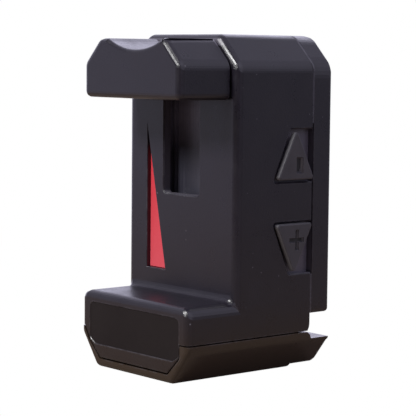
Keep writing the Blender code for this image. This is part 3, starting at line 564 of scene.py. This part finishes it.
def make_seam_lip():
    """The lip on the rear cover that closes the seam just under the surface.

    It runs as an arch from above the keys over the top to the far foot, and as a short piece
    below the keys. The corners of its inner line move by a share of the inset, so that the
    lip stays as thick along the chamfers.
    """
    low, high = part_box("rear_cover")
    foot = low.z + LIP_FOOT_CLEARANCE
    lines = []
    for inset in LIP_INSETS:
        half = high.x - inset
        top = high.z - inset
        chamfer_x = half - LIP_CHAMFER + inset * CHAMFER_SHIFT
        chamfer_z = high.z - LIP_CHAMFER - inset * CHAMFER_SHIFT
        arch = [Vector(corner) for corner in (
            (half, KEY_GAP_HIGH), (half, chamfer_z), (chamfer_x, top),
            (-chamfer_x, top), (-half, chamfer_z), (-half, foot))]
        below_keys = [Vector((half, foot)), Vector((half, KEY_GAP_LOW))]
        lines.append((rounded(arch, LIP_CORNER_R - inset), below_keys))
    bm = bmesh.new()
    for outer, inner in zip(lines[0], lines[1]):
        strip(bm, outer, inner, SEAM_FRONT - SEAM_OVERLAP, SEAM_REAR + SEAM_OVERLAP)
    add_piece("cover_seam_lip", bm, LIP_PLASTIC)


def make_window():
    """The sensor window, a tight fit in its seat."""
    low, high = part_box("sensor_window")
    middle = (low + high) / 2.0
    size = high - low
    bm = bmesh.new()
    bm.from_mesh(NODES["sensor_window"].data)
    for vert in bm.verts:
        vert.co.x = middle.x + (vert.co.x - middle.x) * (1.0 + 2.0 * WINDOW_GROWTH / size.x)
        vert.co.z = middle.z + (vert.co.z - middle.z) * (1.0 + 2.0 * WINDOW_GROWTH / size.z)
    piece = add_piece("dark_sensor_window", bm, MATERIALS["window_dark"])
    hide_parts("sensor_window")


def wire_height(turn):
    """Height of the spring wire's centre; the first and last turns lie closed."""
    low = SPRING_FOOT + WIRE_RADIUS
    high = SPRING_HEAD - WIRE_RADIUS
    if turn < 1.0:
        return low + turn * CLOSED_PITCH
    if turn > SPRING_TURNS - 1.0:
        return high - (SPRING_TURNS - turn) * CLOSED_PITCH
    share = (turn - 1.0) / (SPRING_TURNS - 2.0)
    return low + CLOSED_PITCH + share * (high - low - 2.0 * CLOSED_PITCH)


def make_spring():
    """The return spring of the upper jaw, wound as a coil of wire with its end turns closed."""
    up = Vector((0.0, 0.0, 1.0))
    bm = bmesh.new()
    rings = []
    for i in range(SPRING_TURNS * STEPS_A_TURN + 1):
        turn = i / STEPS_A_TURN
        out = Vector((math.cos(math.tau * turn), math.sin(math.tau * turn), 0.0))
        centre = Vector((*SPRING_AXIS, wire_height(turn))) + out * SPRING_RADIUS
        rolls = [math.tau * k / WIRE_SIDES for k in range(WIRE_SIDES)]
        rings.append([bm.verts.new(centre + (out * math.cos(roll) + up * math.sin(roll)) * WIRE_RADIUS)
                      for roll in rolls])
    skin(bm, rings)
    piece = add_piece("wound_return_spring", bm, MATERIALS["steel"], sharp=1.2)
    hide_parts("return_spring")
    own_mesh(piece)


make_seam_lip()
make_window()
make_spring()


# ---------------------------------------------------------------- floor
WHITE = (1.0, 1.0, 1.0, 1.0)
FLOOR_RADIUS = 0.30
FLOOR_FADE = (0.22, 0.29)
FLOOR_DROP = 0.05 * MM
FLOOR_BOUNCE = (0.27, 0.21, 0.165, 1.0)


def make_floor():
    """A disc, white to the camera and dim to all other rays, that fades out at its rim."""
    bm = bmesh.new()
    bmesh.ops.create_circle(bm, cap_ends=True, radius=FLOOR_RADIUS, segments=96)
    mesh = bpy.data.meshes.new("studio_floor")
    bm.to_mesh(mesh)
    bm.free()
    floor = bpy.data.objects.new("studio_floor", mesh)
    floor.location = (0.0, 0.0, CAD_BOX[0][2] - FLOOR_DROP)
    bpy.context.scene.collection.objects.link(floor)
    g = new_graph("pale_floor")
    pale = g.node("ShaderNodeEmission")
    pale.inputs["Color"].default_value = WHITE
    dim = g.node("ShaderNodeBsdfDiffuse")
    dim.inputs["Color"].default_value = FLOOR_BOUNCE
    seen = g.node("ShaderNodeLightPath").outputs["Is Camera Ray"]
    away = g.node("ShaderNodeVectorMath", operation="LENGTH")
    g.feed(away.inputs[0], g.place)
    clear = g.node("ShaderNodeBsdfTransparent").outputs[0]
    g.surface(g.blend(g.remap(away.outputs["Value"], *FLOOR_FADE),
                      g.blend(seen, dim.outputs[0], pale.outputs[0]), clear))
    mesh.materials.append(g.owner)


make_floor()


# ---------------------------------------------------------------- light
# soft areas of the studio: azimuth, elevation, tightness, strength
SOFT_AREAS = [
    (-130.0, -4.0, 10.0, 2.1),
    (-90.0, -4.0, 10.0, 0.95),
    (-55.0, -4.0, 10.0, 0.50),
    (130.0, -4.0, 10.0, 0.08),
    (160.0, -4.0, 10.0, 0.42),
    (-150.0, 38.0, 8.0, 0.58),
    (-139.0, 34.0, 45.0, 2.4),
    (-95.0, 38.0, 8.0, 0.70),
    (90.0, 38.0, 8.0, 1.7),
    (140.0, 38.0, 8.0, 0.70),
    (0.0, 88.0, 6.0, 0.45),
]
SOFT_COLOUR = (0.90, 0.88, 1.10, 1.0)
LAMP_DIRECTION = (-4.0, 39.0)
LAMP_DISTANCE = 0.9
LAMP_SIDE = 0.20
LAMP_POWER = 11.5
LAMP_AIM = Vector((0.0, 0.0, 0.035))


def direction(azimuth, elevation):
    """Azimuth 0 is the front (-Y), 90 the key side (+X)."""
    a = math.radians(azimuth)
    e = math.radians(elevation)
    return Vector((math.sin(a) * math.cos(e), -math.cos(a) * math.cos(e), math.sin(e)))


def make_world():
    """White to the camera; to all other rays, a dark room with the soft areas in it."""
    world = bpy.data.worlds.new("studio")
    bpy.context.scene.world = world
    g = Graph(world, "ShaderNodeOutputWorld")
    total = None
    for azimuth, elevation, tightness, strength in SOFT_AREAS:
        facing = g.math("MAXIMUM", g.dot(g.outlook, direction(azimuth, elevation)), 0.0)
        area = g.math("MULTIPLY", g.math("POWER", facing, tightness), strength)
        total = area if total is None else g.math("ADD", total, area)
    soft = g.node("ShaderNodeBackground")
    soft.inputs["Color"].default_value = SOFT_COLOUR
    g.feed(soft.inputs["Strength"], total)
    white = g.node("ShaderNodeBackground")
    white.inputs["Color"].default_value = WHITE
    seen = g.node("ShaderNodeLightPath").outputs["Is Camera Ray"]
    g.surface(g.blend(seen, soft.outputs[0], white.outputs[0]))


def make_key_lamp():
    """A small square lamp, high at the front, that gives the crisp light edges."""
    data = bpy.data.lights.new("key_softbox", "AREA")
    data.shape = "RECTANGLE"
    data.size = data.size_y = LAMP_SIDE
    data.energy = LAMP_POWER
    lamp = bpy.data.objects.new("key_softbox", data)
    away = direction(*LAMP_DIRECTION)
    lamp.location = LAMP_AIM + away * LAMP_DISTANCE
    lamp.rotation_euler = away.to_track_quat("Z", "Y").to_euler()
    bpy.context.scene.collection.objects.link(lamp)


make_world()
make_key_lamp()


# ---------------------------------------------------------------- camera
SENSOR_WIDTH = 36.0
FOCAL_LENGTH = 143.7
CAMERA_PLACE = Matrix((
    (0.6416465640, -0.0766139105, 0.7631644607, 0.2615386844),
    (0.7669361234, 0.0511955805, -0.6396781206, -0.2180344015),
    (0.0099375928, 0.9957457185, 0.0916074365, 0.0640883073),
    (0.0, 0.0, 0.0, 1.0)))


def make_camera():
    data = bpy.data.cameras.new("camera")
    data.sensor_fit = "HORIZONTAL"
    data.sensor_width = SENSOR_WIDTH
    data.lens = FOCAL_LENGTH
    data.clip_start = 0.01
    data.clip_end = 10.0
    camera = bpy.data.objects.new("camera", data)
    camera.matrix_world = CAMERA_PLACE
    bpy.context.scene.collection.objects.link(camera)
    bpy.context.scene.camera = camera


make_camera()
view = bpy.context.scene.view_settings
view.view_transform = "Standard"
view.look = "None"
